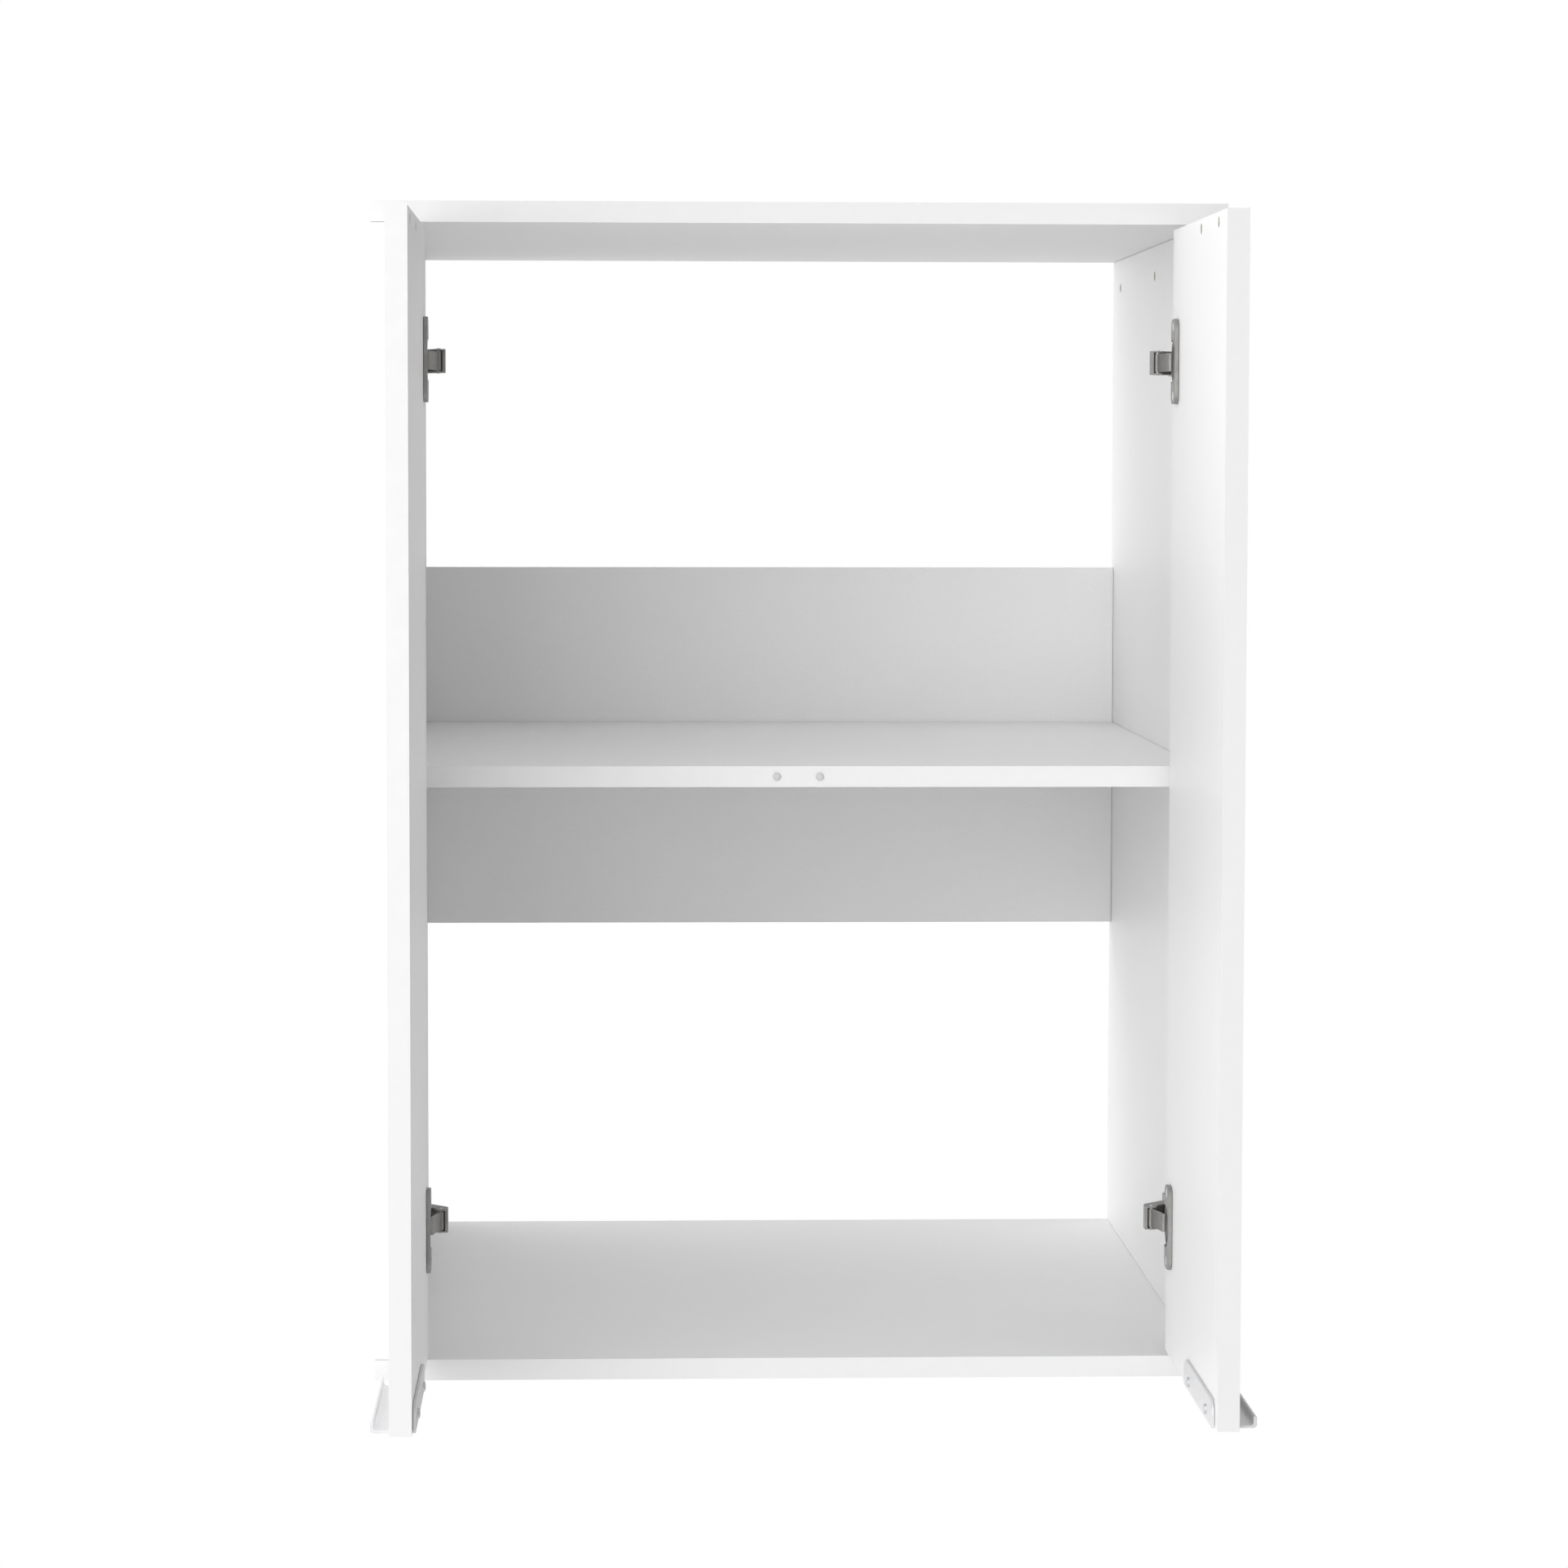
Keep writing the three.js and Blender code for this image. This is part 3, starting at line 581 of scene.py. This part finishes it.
def screwSurface(head, under, rise, crown, core, crest, length, pitch, columns=56):
    # Row by row from the middle of the head's top down to the point. The head's top is a shallow dome,
    # less a cross: each arm's depth falls off across min(|x|, |y|) and towards the arm's end. The head's
    # side runs straight to its underside: a cone where that is as small as the core. The shank's radius
    # is the core's plus a ridge that winds round once a pitch, and it shrinks to nothing at the tip.
    angle = np.linspace(0, 2 * math.pi, columns, endpoint=False)[None, :]
    r = np.linspace(0, 0.86 * head, 15)[:, None]
    x = r * np.cos(angle)
    y = r * np.sin(angle)
    arm = 1 - smoothStep(0.10 * head, 0.17 * head, np.minimum(abs(x), abs(y)))
    reach = 1 - smoothStep(0.46 * head, 0.60 * head, r)
    dome = crown * (1 - (r / head) ** 2)
    top = np.stack([x, y, dome - 0.7 * rise * arm * reach], axis=-1)
    side = revolve([(0.95 * head, 0), (head, -0.12 * rise), (under, -rise)], columns)
    down = np.linspace(-rise, -rise - length, 8 * int(length / pitch) + 1)[:, None]
    turns = down / pitch - angle / (2 * math.pi)
    ridge = np.clip(np.cos(2 * math.pi * turns), 0, 1) ** 2
    taper = smoothStep(-rise - length, -rise - 0.72 * length, down)
    started = 1 - smoothStep(-rise - 1.2 * pitch, -rise - 0.2 * pitch, down)
    radius = taper * (core + (crest - core) * ridge * started)
    shank = np.stack([radius * np.cos(angle), radius * np.sin(angle), down + 0 * angle], axis=-1)
    return np.concatenate([top, side, shank])


def makeScrew(name, kind, headTop, into, body, nodes=()):  # headTop: where the rim's plane meets the axis
    grid = screwSurface(**screwKinds[kind])
    mesh = wrappedMesh(name, placed(grid, headTop, -Vector(into)), "zinc")
    return addPiece(name, mesh, body, nodes)


def inwardX(low, high, hand):  # the x of a box's side that is nearer the middle of the cabinet
    return high.x if hands[hand] < 0 else low.x


hingeScrews = dict(flangeLine=14.5 * mm, flangeSpacing=52 * mm, plateLine=11 * mm, plateSpacing=32 * mm,
                   wing=2.6 * mm, sunk=0.1 * mm)

for hand, side in hands.items():
    into = Vector((side, 0, 0))
    for level in ("upper", "lower"):
        low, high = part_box(f"{hand}_{level}_hinge_cup")
        middle = (low.z + high.z) / 2
        for spot, half in (("Top", 1), ("Bottom", -1)):
            start = Vector((inwardX(low, high, hand), low.y + hingeScrews["flangeLine"],
                            middle + half * hingeScrews["flangeSpacing"] / 2))
            start += into * hingeScrews["sunk"]
            makeScrew(f"{hand}{level.capitalize()}FlangeScrew{spot}", "flange", start, into, f"{hand}_door")
        low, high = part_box(f"{hand}_{level}_mounting_plate")
        wall = low.x if side < 0 else high.x
        for spot, half in (("Top", 1), ("Bottom", -1)):
            start = Vector((wall - side * hingeScrews["wing"], low.y + hingeScrews["plateLine"],
                            middle + half * hingeScrews["plateSpacing"] / 2))
            start += into * hingeScrews["sunk"]
            makeScrew(f"{hand}{level.capitalize()}PlateScrew{spot}", "plate", start, into, "cabinet")
        node = f"{hand}_{level}_arm_screw"
        low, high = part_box(node)
        start = Vector((inwardX(low, high, hand), (low.y + high.y) / 2, middle))
        makeScrew(f"{hand}{level.capitalize()}ArmScrew", "arm", start, into, "cabinet", [node])
    for number in (1, 2):
        node = f"{hand}_handle_screw_{number}"
        low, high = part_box(node)
        start = Vector((inwardX(low, high, hand), (low.y + high.y) / 2, (low.z + high.z) / 2))
        makeScrew(f"{hand}HandleScrew{number}", "handle", start, into, f"{hand}_door", [node])
print("screws made")

buffer = dict(
    cap=3.0 * mm, stem=1.9 * mm, tip=1.2 * mm, stemLength=8 * mm, gap=0.3 * mm, columns=40,
    dome=0.75,        # share of the cap's thickness that the dome takes
    rib=0.15 * mm,
)


def makeBuffer(hand):
    # A push-in cushion. The cap is a quarter ellipse: radius = cap * sin(a), distance = dome * (1 - cos(a)).
    # The stem in the board has soft ribs: radius = stem less the rib's depth times |cos| along its length.
    node = f"{hand}_door_buffer"
    low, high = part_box(node)
    centre = Vector(((low.x + high.x) / 2, low.y, (low.z + high.z) / 2))
    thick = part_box("shelf")[0].y - low.y - buffer["gap"]
    cap = [(buffer["cap"] * math.sin(a), thick * buffer["dome"] * (1 - math.cos(a)))
           for a in np.linspace(0, math.pi / 2, 10)]
    stem = [(buffer["cap"], thick), (buffer["stem"], thick)]
    end = thick + buffer["stemLength"]
    for t in np.linspace(0.02, 0.94, 20):
        rib = buffer["rib"] * abs(math.cos(4 * math.pi * t))
        stem.append((buffer["stem"] - rib, thick + t * buffer["stemLength"]))
    stem += [(buffer["tip"], end), (0, end)]
    grid = revolve(cap + stem, buffer["columns"])
    name = f"{hand}DoorBuffer"
    mesh = wrappedMesh(name, placed(grid, centre, (0, 1, 0)), "plastic")
    return addPiece(name, mesh, "cabinet", [node])


dowel = dict(chamfer=1 * mm, flutes=18, fluteDepth=0.22 * mm, columns=72)


def makeDowel(node):
    # A fluted pin: radius = full radius less a small scallop that repeats round it, drawn in at both
    # ends along a quarter circle.
    low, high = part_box(node)
    size = high - low
    way = max(range(3), key=lambda i: size[i])
    along = Vector((0, 0, 0))
    along[way] = 1
    start = (low + high) / 2
    start[way] = low[way]
    full = min(size) / 2
    angle = np.linspace(0, 2 * math.pi, dowel["columns"], endpoint=False)[None, :]
    curve = np.linspace(0.2, math.pi / 2, 6)
    up = np.concatenate([[0, 0], dowel["chamfer"] * (1 - np.cos(curve)), [size[way] / 2]])
    up = np.concatenate([up, size[way] - up[-2::-1]])[:, None]
    end = np.clip(np.minimum(up, size[way] - up) / dowel["chamfer"], 0, 1)
    shoulder = full - dowel["chamfer"] * (1 - np.sqrt(1 - (1 - end) ** 2))
    flute = dowel["fluteDepth"] * (0.5 - 0.5 * np.cos(dowel["flutes"] * angle)) * np.clip(end * 2, 0, 1)
    radius = shoulder - flute
    radius[0] = 0
    radius[-1] = 0
    grid = np.stack([radius * np.cos(angle), radius * np.sin(angle), up + 0 * angle], axis=-1)
    name = camel(node)
    mesh = wrappedMesh(name, placed(grid, start, along), "beech")
    return addPiece(name, mesh, bodyOf[node], [node])


for hand in hands:
    makeBuffer(hand)
for node in sorted(bodyOf):
    if "dowel" in node:
        makeDowel(node)
print("buffers and dowels made")
